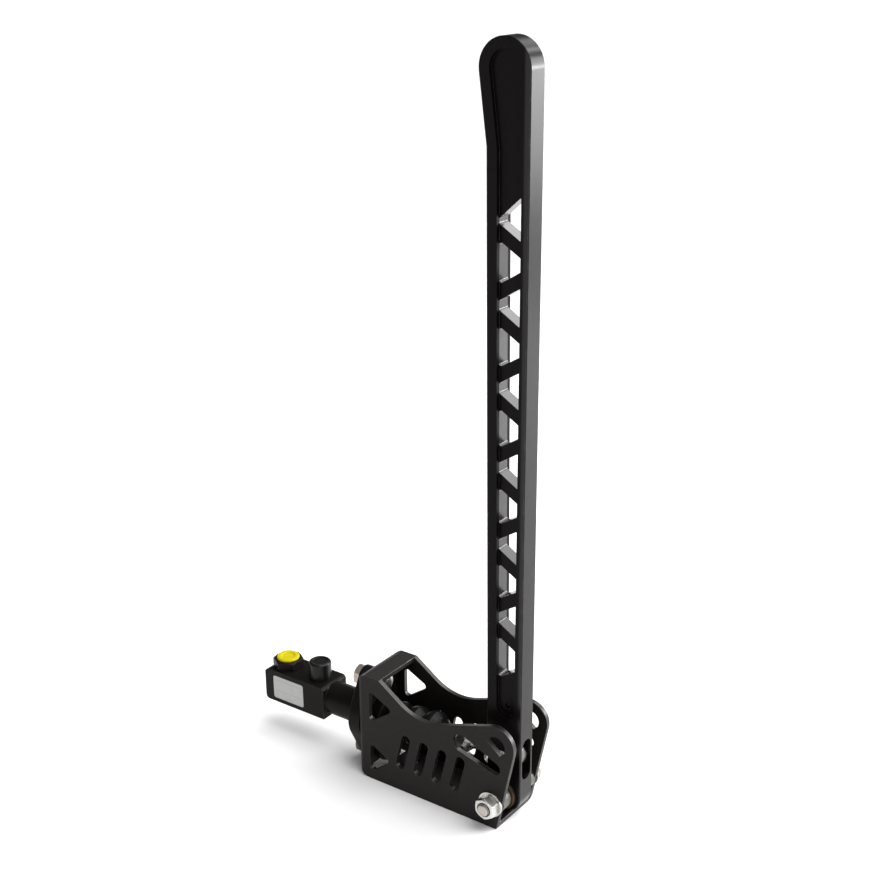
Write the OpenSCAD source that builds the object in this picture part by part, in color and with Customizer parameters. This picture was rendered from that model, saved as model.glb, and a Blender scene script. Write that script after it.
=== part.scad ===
// Upright hydraulic hand brake: a folded steel bracket carries a long machined lever
// on a pivot bolt, and the lever works a flange-mounted master cylinder by a pushrod.
// Millimetres. +Z is up, +X runs forward from the cylinder to the lever, and the origin
// is on the bracket's underside, straight below the pivot.

/* [Bracket] */
// Outside width across the two side plates
bracket_w = 42; // [40:0.5:48]
// Thickness of the folded sheet
sheet_t = 3; // [2:0.25:3.5]
// Distance from the pivot back to the outside of the end plate
bracket_l = 107.5; // [104:0.5:116]
// Height of the end plate over its folded lip
bracket_h = 76.4; // [76:0.2:82]
// Outside radius of the folds
fold_r = 5; // [4:0.5:6]
// Radius of the lower rear corners of the side plates
heel_r = 9; // [4:0.5:10]
// How far the foot reaches forward of the pivot
toe_l = 3.9; // [2:0.1:8]
// Forward lean of the front edge, in degrees
front_lean = 12.1; // [8:0.1:15]
// Height of the top edge straight above the pivot
crest_h = 73.6; // [70:0.2:76]
// Slope of the top edge from the crest down to the saddle, in degrees
crest_slope = 18.3; // [15:0.1:20]
// Radius of the front upper corner
crest_r = 13.5; // [10:0.5:15]
// Slope of the top edge from the lip down to the saddle, in degrees
lip_slope = 34; // [31:0.1:36]
// Radius of the saddle between the two slopes
saddle_r = 36; // [28:1:40]
// Length of the lip folded in from the end plate
lip_l = 19; // [15:0.5:22]
// Outside radius of the fold between the end plate and the lip
lip_fold_r = 7.5; // [4:0.5:7.5]
// Gap between the end plate and the rear edge of the floor
floor_relief = 12.5; // [12:0.5:16]

/* [Side plate cut-outs] */
// Distance from the end plate to the corner triangles
gusset_inset = 10.5; // [9:0.5:14]
// Corner radius of the triangles
gusset_r = 2.5; // [1.5:0.1:3]
// Length of the upper triangle
upper_gusset_l = 20; // [14:0.5:22]
// Lowest corner of the upper triangle
upper_gusset_z = 43; // [42:0.5:48]
// Height of the upper triangle's upright side
upper_gusset_h = 24; // [16:0.5:25]
// Height of the upper triangle's point above its lowest corner
upper_gusset_tip = 14; // [10:0.5:16]
// Length of the lower triangle
lower_gusset_l = 17; // [12:0.5:20]
// Lowest corner of the lower triangle
lower_gusset_z = 4.5; // [4:0.5:8]
// Height of the lower triangle's upright side
lower_gusset_h = 23; // [16:0.5:26]
// Height of the lower triangle's point above its lowest corner
lower_gusset_tip = 13.5; // [10:0.5:16]
// Number of plain leaning slots along each side plate
slot_count = 4; // [2:1:4]
// Width of a leaning slot
slot_w = 7; // [4:0.5:8]
// Height of a leaning slot
slot_h = 27; // [20:0.5:28]
// Lean of the slots, in degrees
slot_lean = 14; // [0:1:18]
// Spacing of the slots
slot_pitch = 14.5; // [12:0.5:16]
// Height from the slots' middle up to the crest
slot_z = 44.1; // [42.6:0.5:45.6]
// Distance from the pivot to the slot nearest to it
slot_first = 26; // [25:0.5:30]
// Distance of the leaf-shaped opening's rear end behind the pivot line
leaf_rear_back = 23; // [18:0.5:24]
// Height from the leaf's rear end up to the crest
leaf_rear_h = 20.4; // [19.6:0.1:21.6]
// Radius of the leaf's rear end
leaf_rear_r = 6.2; // [4:0.1:6.5]
// Distance of the leaf's front end before the pivot line
leaf_front_l = 2.4; // [0:0.1:4]
// Height of the leaf's front end
leaf_front_h = 44; // [43:0.1:45]
// Radius of the leaf's front end
leaf_front_r = 4.2; // [3:0.1:4.5]
// Distance of the D-shaped opening under the crest before the pivot line
crest_hole_l = 3.4; // [2:0.1:4.5]
// Height from the centre of the D-shaped opening up to the crest
crest_hole_h = 13.4; // [12.6:0.1:14.6]
// Radius of the D-shaped opening
crest_hole_r = 6.7; // [4:0.1:7]
// Distance from that centre to the opening's straight side
crest_hole_flat = 2.6; // [1.5:0.1:4]
// Direction of the straight side's normal, in degrees
crest_hole_turn = 50; // [40:1:60]

/* [Floor holes] */
// Diameter of the floor holes
floor_hole_d = 6.6; // [5.5:0.1:8.5]
// Spacing of the floor holes along the bracket
floor_hole_l = 60; // [40:1:62]
// Spacing of the floor holes across the bracket
floor_hole_w = 18; // [14:0.5:20]
// Distance from the pivot back to the front pair of floor holes
floor_hole_front = 22; // [18:0.5:28]

/* [Lever] */
// Thickness of the lever
lever_t = 14; // [13:0.5:16]
// Height of the centre of the rounded head
head_h = 467.4; // [380:0.2:520]
// Radius of the rounded head
head_r = 17; // [15.5:0.1:20]
// Distance of the head's centre behind the pivot line
head_back = 2.9; // [0:0.1:4]
// Distance from the head's centre down to where the rear edge starts to flare
flare_h = 42.4; // [27.4:0.2:122.4]
// Distance from the pivot line to the rear edge at the flare
flare_back = 14.6; // [14:0.1:16]
// Radius of the round end at the pivot
foot_r = 12.5; // [12:0.1:13]
// Width of the rim behind the pocket
rim_back = 7.2; // [5:0.1:8]
// Width of the rim in front of the pocket
rim_front = 5.2; // [4:0.1:6]
// Depth of the pocket in each face
pocket_d = 2.6; // [1:0.1:4]
// Height of the centre of the pocket's round lower end
pocket_h = 80.5; // [78:0.5:84]
// Diameter of the small hole at that centre
witness_d = 4; // [3:0.1:5]
// Chamfer along the lever's outer edges
edge_break = 0.6; // [0.2:0.1:1]

/* [Lever windows] */
// Number of windows
window_count = 12; // [4:2:12]
// Spacing of the ribs between the windows
rib_pitch = 24.6; // [20:0.1:26]
// Thickness of a rib
rib_t = 8; // [5:0.1:9]
// Slope of the ribs, in degrees
rib_slope = 31.5; // [26:0.5:34]
// Slope of the topmost window's upper edge, in degrees
top_slope = 42; // [31:0.5:44]
// Height of the rib below the lowest window, at the pocket's middle
lowest_rib_h = 98.1; // [97:0.1:104]
// Extra height of the lowest window
lowest_extra = 5; // [0:0.5:6]
// Corner radius of the windows
window_r = 1.5; // [1:0.1:1.8]

/* [Pushrod slot in the lever] */
// Width of the slot
rod_slot_w = 10; // [9.6:0.1:10.6]
// Distance from the cross pin down to the slot's lower end
rod_slot_low = 14.7; // [13:0.1:15]
// Distance from the cross pin up to the slot's upper end
rod_slot_high = 14.2; // [13:0.1:18]

/* [Pivot] */
// Height of the pivot above the underside
pivot_h = 17.6; // [17.4:0.1:18.2]
// Diameter of the pivot bolt
pivot_d = 8; // [6:0.5:10]
// Width across flats of the pivot nut and bolt head
pivot_af = 13; // [10:0.5:17]
// Height of the pivot nut
pivot_nut_h = 6.8; // [5:0.2:9]
// Height of the pivot bolt's head
pivot_head_h = 5.4; // [4:0.2:7]
// Thread showing beyond the pivot nut
pivot_tail = 1.5; // [1:0.5:4]
// Outside diameter of the pivot washers
pivot_washer_d = 17; // [14:0.5:22]
// Thickness of the pivot washers
pivot_washer_t = 1.6; // [1:0.1:2.5]
// Wall of the sleeve that the bolt clamps between the plates
sleeve_wall = 1.95; // [0.8:0.05:2.5]
// Wall of the bronze bushes
bush_wall = 1.4; // [1:0.1:1.6]
// Diameter of the bushes' flanges
bush_flange_d = 19; // [17:0.5:21]
// Thickness of the bushes' flanges
bush_flange_t = 2.5; // [1.5:0.1:3]
// Outside diameter of the steel spacers
spacer_d = 16; // [15:0.5:18]

/* [Master cylinder] */
// Height of the cylinder's axis
axis_h = 36; // [35.6:0.1:36.6]
// Spacing of the two flange bolts
flange_pitch = 52; // [51:0.2:52.4]
// Thickness of the flange
flange_t = 9; // [7:0.5:11]
// Radius of the flange around the barrel
flange_hub_r = 19.5; // [17:0.1:20]
// Radius of the flange around a bolt
flange_lobe_r = 7.8; // [7.4:0.1:8.4]
// Radius of the barrel
barrel_r = 11.5; // [10.5:0.1:12]
// Length of the barrel between flange and block
barrel_l = 27.8; // [22:0.1:32]
// Length of the block
block_l = 52.9; // [50:0.1:60]
// Width of the block
block_w = 25; // [24.5:0.5:28]
// Height of the block
block_h = 23.6; // [23.2:0.2:28]
// Radius of the block's upper and rear corners
block_r = 3; // [1.5:0.1:3.5]
// Diameter of the bore
bore_d = 15.9; // [14:0.1:16.5]
// Wall between the bore's end and the middle of the outlet port
bore_end_wall = 9; // [8:0.5:11]
// Diameter of the oil passage from the bore to the outlet port
passage_d = 4; // [2:0.1:5]
// Diameter of the small hole from the bore to the inlet port
feed_d = 1.6; // [1:0.1:2]
// Radius of the spigot that passes through the end plate
spigot_r = 13; // [12:0.1:13.5]
// Length of the spigot from the flange
spigot_l = 10.5; // [10:0.5:12]
// Diameter of the flange bolts
flange_bolt_d = 8; // [6:0.5:8]
// Width across flats of the flange bolts and nuts
flange_af = 13; // [12:0.5:13]
// Height of the flange bolts' heads
flange_head_h = 5.3; // [4:0.1:6]
// Height of the flange nuts
flange_nut_h = 5.2; // [4:0.1:5.6]
// Outside diameter of the flange nuts' washers
flange_washer_d = 13.6; // [13:0.1:13.6]
// Thickness of the flange nuts' washers
flange_washer_t = 1.4; // [1:0.1:2]
// Thread showing beyond the flange nuts
flange_tail = 1; // [0.5:0.1:1.5]
// Thickness of the circlip in the mouth of the bore
circlip_t = 1.2; // [1:0.1:1.5]
// Distance from the mouth to the circlip
circlip_inset = 1.5; // [1:0.1:2]
// Depth of the circlip's groove
circlip_bite = 0.9; // [0.6:0.1:1.2]
// Width of the circlip inside the bore
circlip_w = 1.3; // [1:0.1:1.5]
// Radius of the circlip's eyes
circlip_eye_r = 1.4; // [1:0.1:1.5]
// Radius of the holes in the circlip's eyes
circlip_hole_r = 0.6; // [0.4:0.1:0.8]
// Half of the angle between the circlip's ends, in degrees
circlip_open = 22; // [18:1:30]
// Thickness of the stop washer behind the circlip
stop_t = 1.2; // [1:0.1:2]
// Clearance round the pushrod in the stop washer
stop_gap = 1.9; // [1.6:0.1:2.2]

/* [Ports] */
// Distance from the block's rear end to the outlet port
outlet_inset = 11.2; // [10.5:0.1:13]
// Width across flats of the outlet adapter
adapter_af = 19; // [17:0.5:20]
// Height of the adapter's hexagon
adapter_h = 6.4; // [4:0.2:8]
// Diameter of the adapter's threaded stem
adapter_stem_d = 12; // [10:0.5:12]
// Length of the adapter's stem
adapter_stem_l = 8; // [6:0.5:8.5]
// Diameter of the adapter's bore
adapter_bore_d = 8.5; // [7:0.1:9]
// Diameter of the shipping plug's disc
plug_d = 15.7; // [12:0.1:16.5]
// Thickness of the shipping plug's disc
plug_t = 1.5; // [1:0.1:3]
// Diameter of the dish in the plug's disc
plug_dish_d = 10; // [6:0.1:10.5]
// Depth of that dish
plug_dish = 0.6; // [0.3:0.1:0.8]
// Length of the plug's stem
plug_stem_l = 7.4; // [5:0.2:9]
// Distance between the outlet and inlet ports
port_pitch = 29.3; // [26:0.1:31]
// Outside diameter of the inlet nipple
nipple_d = 8; // [6:0.5:9]
// Height of the inlet nipple above the block
nipple_h = 9; // [6:0.5:10]
// Wall of the inlet nipple
nipple_wall = 1.6; // [1:0.1:2]
// Depth to which the inlet nipple enters the block
nipple_stem_l = 2.6; // [2:0.1:3]
// Outside diameter of the inlet cap
cap_d = 15.6; // [13:0.1:17]
// Height of the inlet cap
cap_h = 12.9; // [11.5:0.1:15]
// Radius round the top of the inlet cap
cap_r = 1.6; // [1:0.1:1.8]
// Width of the rim round the dish in the cap's top
cap_rim = 2.2; // [2:0.1:3]
// Depth of that dish
cap_dish = 0.7; // [0.3:0.1:1]
// Length of the label on the block
label_l = 27; // [20:0.5:30]
// Height of the label on the block
label_h = 17; // [12:0.5:19]
// Distance from the block's rear end to the label
label_inset = 7.8; // [4:0.2:9]
// Corner radius of the label
label_r = 1.5; // [0.5:0.1:2.5]
// Thickness of the label
label_t = 0.25; // [0.1:0.05:0.5]

/* [Piston] */
// Length of the piston
piston_l = 42; // [38:0.5:44]
// Distance from the end plate's outside to the piston's rear face
piston_rear = 5; // [4:0.1:6]
// Width of the seal grooves
groove_w = 3.4; // [2.5:0.1:4]
// Depth of the seal grooves
groove_d = 2.4; // [1.5:0.1:2.8]
// Distance from the piston's front face to the primary seal
seal_land = 2; // [1.5:0.1:3]
// Thickness of a seal's lip
seal_lip = 0.6; // [0.4:0.1:0.8]
// Clearance of the seals in their grooves
seal_gap = 0.1; // [0.05:0.05:0.2]
// Wall between the secondary seal's groove and the ball's socket
socket_wall = 1.5; // [1:0.1:3]
// Length of the piston's spring seat
spring_seat_l = 4; // [3:0.1:5]
// Room between the return spring and the bore
spring_room = 1.7; // [1:0.1:2]
// Diameter of the wire of the return spring
spring_wire = 1.5; // [1:0.1:1.8]
// Number of turns of the return spring
spring_turns = 5; // [4:1:6]

/* [Pushrod] */
// Height of the cross pin in the lever
pin_h = 44; // [43:0.1:45]
// Diameter of the cross pin
pin_d = 8; // [6:0.5:8]
// Diameter of the cross pin's head
pin_head_d = 12; // [11:0.5:14]
// Thickness of the cross pin's head
pin_head_t = 2.5; // [1.5:0.1:3.5]
// Length of the cross pin beyond the lever
pin_tail = 2.6; // [2.2:0.1:4]
// Thickness of the clip on the cross pin
clip_t = 1; // [0.8:0.1:1.4]
// Depth of the clip's groove
clip_bite = 0.8; // [0.5:0.1:1]
// Outside diameter of the clip
clip_d = 13; // [11:0.5:15]
// Width of the clip's mouth
clip_mouth = 4.8; // [3:0.1:5]
// Diameter of the pushrod
rod_d = 8; // [6:0.5:8]
// Diameter of the pushrod between its collar and its ball end
shank_d = 6.4; // [5:0.1:7]
// Height of the pushrod's collar
collar_lip = 2.2; // [2:0.1:2.4]
// Thickness of the pushrod's collar
collar_t = 2.5; // [1.5:0.1:3]
// Length of thread inside the rod end
thread_l = 18; // [14:0.5:18.5]
// Radius of the pushrod's ball end
ball_r = 5; // [4:0.1:5.2]
// Distance from the piston's rear face to the middle of the ball end
ball_depth = 4.5; // [4:0.1:5.5]
// Radius of the eye of the rod end
eye_r = 10.5; // [9:0.1:11]
// Width of the eye of the rod end
eye_w = 7.6; // [6.5:0.1:8]
// Radius of the rod end's bearing ball
bearing_r = 6.5; // [6:0.1:7]
// Distance from the cross pin to the mouth of the rod end
rod_end_l = 37; // [34:0.5:40]
// Width across flats of the rod end's hexagon
rod_end_af = 14; // [13:0.5:15]
// Length of the rod end's hexagon
rod_end_hex_l = 6.5; // [5:0.5:8]
// Radius of the rod end's neck
rod_end_neck_r = 4.3; // [4:0.1:4.6]
// Slope of the cone between neck and hexagon, in degrees
rod_end_cone = 36; // [25:1:50]
// Width across flats of the jam nut
jam_af = 13; // [12:0.5:14]
// Height of the jam nut
jam_h = 6.5; // [4:0.5:7]

/* [Boot] */
// Number of folds of the rubber boot
boot_folds = 3; // [2:1:5]
// Radius over the folds
boot_r = 13.2; // [11:0.1:14]
// Depth of the folds
boot_fold_d = 3.4; // [2:0.1:4]
// Wall of the boot
boot_wall = 1.2; // [0.8:0.1:1.6]
// Length of the boot's cuff on the spigot
boot_cuff_l = 5; // [3:0.5:6]
// Length of the boot's neck on the pushrod
boot_neck_l = 5; // [3:0.5:7]
// Distance from the jam nut to the boot's small end
boot_front = 0.3; // [0.3:0.1:6.5]

/* [Clearances] */
// Radial clearance of a running fit
run_gap = 0.05; // [0.02:0.01:0.08]
// Clearance between fixed pieces that pass through each other
pass_gap = 0.15; // [0.1:0.05:0.25]
// Clearance at the faces of pieces that turn or slide
side_gap = 0.3; // [0.2:0.05:0.4]
// Clearance of the ball end in the piston, where the linkage is open
ball_gap = 0.7; // [0.6:0.05:0.8]

/* [Hidden] */
$fn = 96;
eps = 0.5;
// Overlap that makes lines and arcs cross cleanly where they touch
lap = 0.002;
half_w = bracket_w / 2;
inner_w = half_w - sheet_t;
rear_x = -bracket_l;
mouth_x = rear_x + spigot_l;
flange_x = rear_x - flange_t;
block_x = flange_x - barrel_l;
block_rear_x = block_x - block_l;
block_top = axis_h + block_h / 2;
outlet_x = block_rear_x + outlet_inset;
inlet_x = outlet_x + port_pitch;
bore_end_x = outlet_x + bore_end_wall;
piston_x = rear_x - piston_rear;
piston_front_x = piston_x - piston_l;
ball_x = piston_x - ball_depth;
rod_l = norm([ball_x, pin_h - axis_h]);
rod_tilt = atan((pin_h - axis_h) / -ball_x);
sleeve_d = pivot_d + 2 * pass_gap + 2 * sleeve_wall;
bush_d = sleeve_d + 2 * run_gap + 2 * bush_wall;
head = [-head_back, head_h];
foot = [0, pivot_h];
flare_z = head_h - flare_h;
flare = [-flare_back, flare_z];

// Helpers for outlines with true arcs

function unit(v) = v / norm(v);
function angle_at(a, b, c) = acos(unit(a - b) * unit(c - b));
function run_in(a, b, c, r) = r / tan(angle_at(a, b, c) / 2);
function arc_centre(a, b, c, r) = b + unit(unit(a - b) + unit(c - b)) * r / sin(angle_at(a, b, c) / 2);
function is_outer(a, b, c) = cross(b - a, c - b) > 0;
function before(points, i) = points[(i + len(points) - 1) % len(points)];
function after(points, i) = points[(i + 1) % len(points)];
function trimmed(a, b, c, r) =
    r == 0 ? [b] : [b + unit(a - b) * run_in(a, b, c, r), b + unit(c - b) * run_in(a, b, c, r)];
// Point where the line that touches two circles touches the first: side 1 is left of c1 to c2
function touch(c1, r1, c2, r2, side) =
    let (turn = atan2(c2[1] - c1[1], c2[0] - c1[0]) + side * acos((r1 - r2) / norm(c2 - c1)))
    c1 + r1 * [cos(turn), sin(turn)];
function angle_to(p, q) = atan2(q[1] - p[1], q[0] - p[0]);
function x_on(p, q, z) = p[0] + (q[0] - p[0]) * (z - p[1]) / (q[1] - p[1]);

module corner_discs(points, radii, outer) {
    for (i = [0:len(points) - 1])
        if (radii[i] > 0 && is_outer(before(points, i), points[i], after(points, i)) == outer)
            translate(arc_centre(before(points, i), points[i], after(points, i), radii[i]))
                circle(r = radii[i] + lap);
}

module rounded_outline(points, radii) {
    difference() {
        union() {
            polygon([for (i = [0:len(points) - 1])
                each trimmed(before(points, i), points[i], after(points, i), radii[i])]);
            corner_discs(points, radii, true);
        }
        corner_discs(points, radii, false);
    }
}

// Two circles of any radii and the lines that touch both
module tapered_bar(c1, r1, c2, r2) {
    polygon([touch(c1, r1, c2, r2, -1), touch(c2, r2, c1, r1, 1),
        touch(c2, r2, c1, r1, -1), touch(c1, r1, c2, r2, 1)]);
    translate(c1)
        circle(r = r1 + lap);
    translate(c2)
        circle(r = r2 + lap);
}

// Extrudes an outline drawn in X and Z across Y, from y to y + t
module across(y, t) {
    translate([0, y + t, 0])
        rotate([90, 0, 0])
            linear_extrude(height = t)
                children();
}

// Cylinder along Y from y to y + h
module y_rod(d, y, h) {
    translate([0, y, 0])
        rotate([-90, 0, 0])
            cylinder(d = d, h = h);
}

// Cylinder along X from x to x + h
module x_rod(d, x, h) {
    translate([x, 0, 0])
        rotate([0, 90, 0])
            cylinder(d = d, h = h);
}

module ring(d, bore, h) {
    difference() {
        cylinder(d = d, h = h);
        translate([0, 0, -eps])
            cylinder(d = bore, h = h + 2 * eps);
    }
}

// Hexagonal prism with the turned-off corners of a nut
module hexagon(af, h) {
    turned = af * 0.48;
    corner = af / sqrt(3);
    drop = (corner - turned) * tan(30);
    intersection() {
        rotate(30)
            cylinder(d = af / cos(30), h = h, $fn = 6);
        rotate_extrude()
            polygon([[0, 0], [turned, 0], [corner, drop], [corner, h - drop], [turned, h], [0, h]]);
    }
}

module hex_nut(af, h, bore) {
    difference() {
        hexagon(af, h);
        translate([0, 0, -eps])
            cylinder(d = bore, h = h + 2 * eps);
    }
}

// Bolt with its head below z = 0 and a chamfered end
module hex_bolt(d, length, af, head_h) {
    chamfer = d * 0.09;
    translate([0, 0, -head_h])
        hexagon(af, head_h);
    translate([0, 0, -head_h / 2])
        cylinder(d = d, h = head_h / 2 + length - chamfer);
    translate([0, 0, length - chamfer])
        cylinder(d1 = d, d2 = d - 2 * chamfer, h = chamfer);
}

// Places that several pieces share

module at_pivot() {
    translate([0, 0, pivot_h])
        children();
}

module at_axis() {
    translate([0, 0, axis_h])
        children();
}

module at_flange_bolts() {
    for (side = [-1, 1])
        translate([0, 0, axis_h + side * flange_pitch / 2])
            children();
}

module at_pin() {
    translate([0, 0, pin_h])
        children();
}

// Along the pushrod: z runs from the cross pin towards the ball end
module along_rod() {
    at_pin()
        rotate([0, -90 - rod_tilt, 0])
            children();
}

module at_port(x) {
    translate([x, 0, block_top])
        children();
}

// Bracket

crest_rise = tan(crest_slope);
lip_rise = tan(lip_slope);
front_run = tan(front_lean);
front_top_h = (crest_h + crest_rise * toe_l) / (1 - front_run * crest_rise);
front_top = [toe_l + front_run * front_top_h, front_top_h];
lip_end = [rear_x + lip_l, bracket_h];
saddle_x = (lip_end[1] + lip_rise * lip_end[0] - crest_h) / (crest_rise + lip_rise);
saddle = [saddle_x, crest_h + crest_rise * saddle_x];

module gusset_hole(z, length, h, tip) {
    x = rear_x + gusset_inset;
    rounded_outline([[x, z], [x + length, z + tip], [x, z + h]], [gusset_r, gusset_r, gusset_r]);
}

module leaning_slot(x) {
    translate([x, crest_h - slot_z])
        rotate(-slot_lean)
            tapered_bar([0, -(slot_h - slot_w) / 2], slot_w / 2, [0, (slot_h - slot_w) / 2], slot_w / 2);
}

module crest_opening() {
    translate([crest_hole_l, crest_h - crest_hole_h])
        rotate(crest_hole_turn)
            difference() {
                circle(r = crest_hole_r);
                translate([-crest_hole_flat - 2 * crest_hole_r, -crest_hole_r])
                    square(2 * crest_hole_r);
            }
}

module side_outline() {
    difference() {
        rounded_outline([[rear_x, 0], [toe_l, 0], front_top, saddle, lip_end, [rear_x, bracket_h]],
            [heel_r, 0, crest_r, saddle_r, 0, lip_fold_r]);
        gusset_hole(upper_gusset_z, upper_gusset_l, upper_gusset_h, upper_gusset_tip);
        gusset_hole(lower_gusset_z, lower_gusset_l, lower_gusset_h, lower_gusset_tip);
        for (i = [0:slot_count - 1])
            leaning_slot(-slot_first - i * slot_pitch);
        tapered_bar([-leaf_rear_back, crest_h - leaf_rear_h], leaf_rear_r,
            [leaf_front_l, leaf_front_h], leaf_front_r);
        crest_opening();
    }
}

// Plan of the two side plates and the end plate, folded from one strip
module wall_plan(inset, corner_r) {
    x = rear_x + inset;
    y = half_w - inset;
    front = front_top[0] + inset + eps;
    rounded_outline([[x, -y], [front, -y], [front, y], [x, y]], [corner_r, 0, 0, corner_r]);
}

module bracket_walls() {
    intersection() {
        linear_extrude(height = bracket_h)
            difference() {
                wall_plan(0, fold_r);
                wall_plan(sheet_t, fold_r - sheet_t);
            }
        across(-half_w, bracket_w)
            side_outline();
    }
}

// Outline of the end plate's top and the lip, set in from their outer faces
module lip_side(inset, corner_r, past) {
    x = rear_x + inset;
    top = bracket_h - inset;
    low = bracket_h - 2 * lip_fold_r - past;
    rounded_outline([[x, low], [lip_end[0] + past, low], [lip_end[0] + past, top], [x, top]],
        [0, 0, 0, corner_r]);
}

module bracket_lip() {
    intersection() {
        across(-half_w, bracket_w)
            difference() {
                lip_side(0, lip_fold_r, 0);
                lip_side(sheet_t, lip_fold_r - sheet_t, eps);
            }
        linear_extrude(height = bracket_h)
            wall_plan(0, fold_r);
    }
}

module bracket_floor() {
    translate([rear_x + floor_relief, -half_w + sheet_t / 2, 0])
        cube([toe_l - rear_x - floor_relief, bracket_w - sheet_t, sheet_t]);
}

// Quarter round taken off the lower far edge, where the floor is folded from its side plate
module fold_cut() {
    translate([rear_x - eps, half_w - fold_r, fold_r])
        rotate([90, 0, 90])
            linear_extrude(height = bracket_l + front_top[0] + 2 * eps)
                difference() {
                    translate([0, -fold_r - eps])
                        square([fold_r + eps, fold_r + eps]);
                    circle(r = fold_r);
                }
}

module floor_holes() {
    for (x = [-floor_hole_front, -floor_hole_front - floor_hole_l])
        for (side = [-1, 1])
            translate([x, side * floor_hole_w / 2, -eps])
                cylinder(d = floor_hole_d, h = sheet_t + 2 * eps);
}

module base_bracket() {
    color("#1c1c1e")
    difference() {
        union() {
            bracket_walls();
            bracket_lip();
            bracket_floor();
        }
        fold_cut();
        floor_holes();
        at_pivot()
            y_rod(pivot_d + 2 * pass_gap, -half_w - eps, bracket_w + 2 * eps);
        at_axis()
            x_rod(2 * (spigot_r + pass_gap), rear_x - eps, sheet_t + 2 * eps);
        at_flange_bolts()
            x_rod(flange_bolt_d + 2 * pass_gap, rear_x - eps, sheet_t + 2 * eps);
    }
}

// Lever

front_low = touch(foot, foot_r, head, head_r, -1);
front_high = touch(head, head_r, foot, foot_r, 1);
rear_high = touch(head, head_r, flare, 0, -1);
rear_low = touch(foot, foot_r, flare, 0, 1);
function lever_front(z) = x_on(front_low, front_high, z);
function lever_rear(z) = x_on(rear_low, flare, z);
function pocket_front(z) = lever_front(z) - rim_front;
function pocket_rear(z) = lever_rear(z) + rim_back;

pocket_shift = (rim_back - rim_front) / 2;
pocket_head = head + [pocket_shift, 0];
pocket_head_r = head_r - (rim_back + rim_front) / 2;
pocket_foot = [(pocket_front(pocket_h) + pocket_rear(pocket_h)) / 2, pocket_h];
pocket_foot_r = (pocket_front(pocket_h) - pocket_rear(pocket_h)) / 2;
pocket_flare = [pocket_rear(flare_z), flare_z];

module blade(top, top_r, bend, bottom, bottom_r) {
    polygon([touch(bottom, bottom_r, top, top_r, -1), touch(top, top_r, bottom, bottom_r, 1),
        touch(top, top_r, bend, 0, -1), bend, touch(bottom, bottom_r, bend, 0, 1)]);
    translate(top)
        circle(r = top_r + lap);
    translate(bottom)
        circle(r = bottom_r + lap);
}

// Ribs are counted upwards from the one below the lowest window; even ribs rise to the front
function rib_z(i) = lowest_rib_h + lowest_extra + i * rib_pitch;
function rib_rise(i) = i == window_count ? tan(top_slope) : (i % 2 == 0 ? 1 : -1) * tan(rib_slope);
function rib_edge(i, x, side) =
    let (half_rib = rib_t / cos(rib_slope) / 2)
    rib_z(i) + rib_rise(i) * (x - pocket_foot[0]) + side * half_rib - (i == 0 ? lowest_extra : 0);

module window(i) {
    rear = pocket_rear(rib_z(i + 0.5));
    front = pocket_front(rib_z(i + 0.5));
    rounded_outline([[rear, rib_edge(i, rear, 1)], [front, rib_edge(i, front, 1)],
        [front, rib_edge(i + 1, front, -1)], [rear, rib_edge(i + 1, rear, -1)]],
        [window_r, window_r, window_r, window_r]);
}

// Triangular cut that breaks a straight outer edge at both faces
module straight_break(p, q) {
    length = norm(q - p);
    for (side = [-1, 1])
        translate([p[0], side * lever_t / 2, p[1]])
            rotate([0, -atan2(q[1] - p[1], q[0] - p[0]), 0])
                rotate([45, 0, 0])
                    translate([-eps, -edge_break / sqrt(2), -edge_break / sqrt(2)])
                        cube([length + 2 * eps, edge_break * sqrt(2), edge_break * sqrt(2)]);
}

// The same cut round an arc of the outline, counter-clockwise from p to q
module round_break(centre, r, p, q) {
    a = angle_to(centre, p);
    swept = (angle_to(centre, q) - a + 720) % 360;
    face = lever_t / 2;
    for (side = [0, 1])
        translate([centre[0], 0, centre[1]])
            rotate([90, 0, 0])
                mirror([0, 0, side])
                    rotate(a)
                        rotate_extrude(angle = swept)
                            polygon([[r - edge_break, face], [r + edge_break, face - 2 * edge_break],
                                [r + edge_break, face + edge_break], [r - edge_break, face + edge_break]]);
}

module rod_slot() {
    translate([-foot_r - head_r, 0, 0])
        rotate([90, 0, 90])
            linear_extrude(height = 2 * (foot_r + head_r))
                tapered_bar([0, pin_h - rod_slot_low + rod_slot_w / 2], rod_slot_w / 2,
                    [0, pin_h + rod_slot_high - rod_slot_w / 2], rod_slot_w / 2);
}

module lever() {
    color("#141416")
    difference() {
        across(-lever_t / 2, lever_t)
            blade(head, head_r, flare, foot, foot_r);
        for (y = [-lever_t / 2 - eps, lever_t / 2 - pocket_d])
            across(y, pocket_d + eps)
                blade(pocket_head, pocket_head_r, pocket_flare, pocket_foot, pocket_foot_r);
        across(-lever_t, 2 * lever_t)
            for (i = [0:window_count - 1])
                window(i);
        straight_break(front_low, front_high);
        straight_break(rear_low, flare);
        straight_break(flare, rear_high);
        round_break(head, head_r, front_high, rear_high);
        round_break(foot, foot_r, rear_low, front_low);
        rod_slot();
        at_pivot()
            y_rod(bush_d, -lever_t, 2 * lever_t);
        at_pin()
            y_rod(pin_d + run_gap, -lever_t, 2 * lever_t);
        translate([pocket_foot[0], 0, pocket_foot[1]])
            y_rod(witness_d, -lever_t, 2 * lever_t);
    }
}

// Pivot: the bolt clamps the plates on the sleeve, and the lever's bushes turn on the sleeve

module pivot_bolt() {
    color("silver")
        at_pivot()
            translate([0, half_w + pivot_washer_t, 0])
                rotate([90, 0, 0])
                    hex_bolt(pivot_d, bracket_w + 2 * pivot_washer_t + pivot_nut_h + pivot_tail,
                        pivot_af, pivot_head_h);
}

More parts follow.
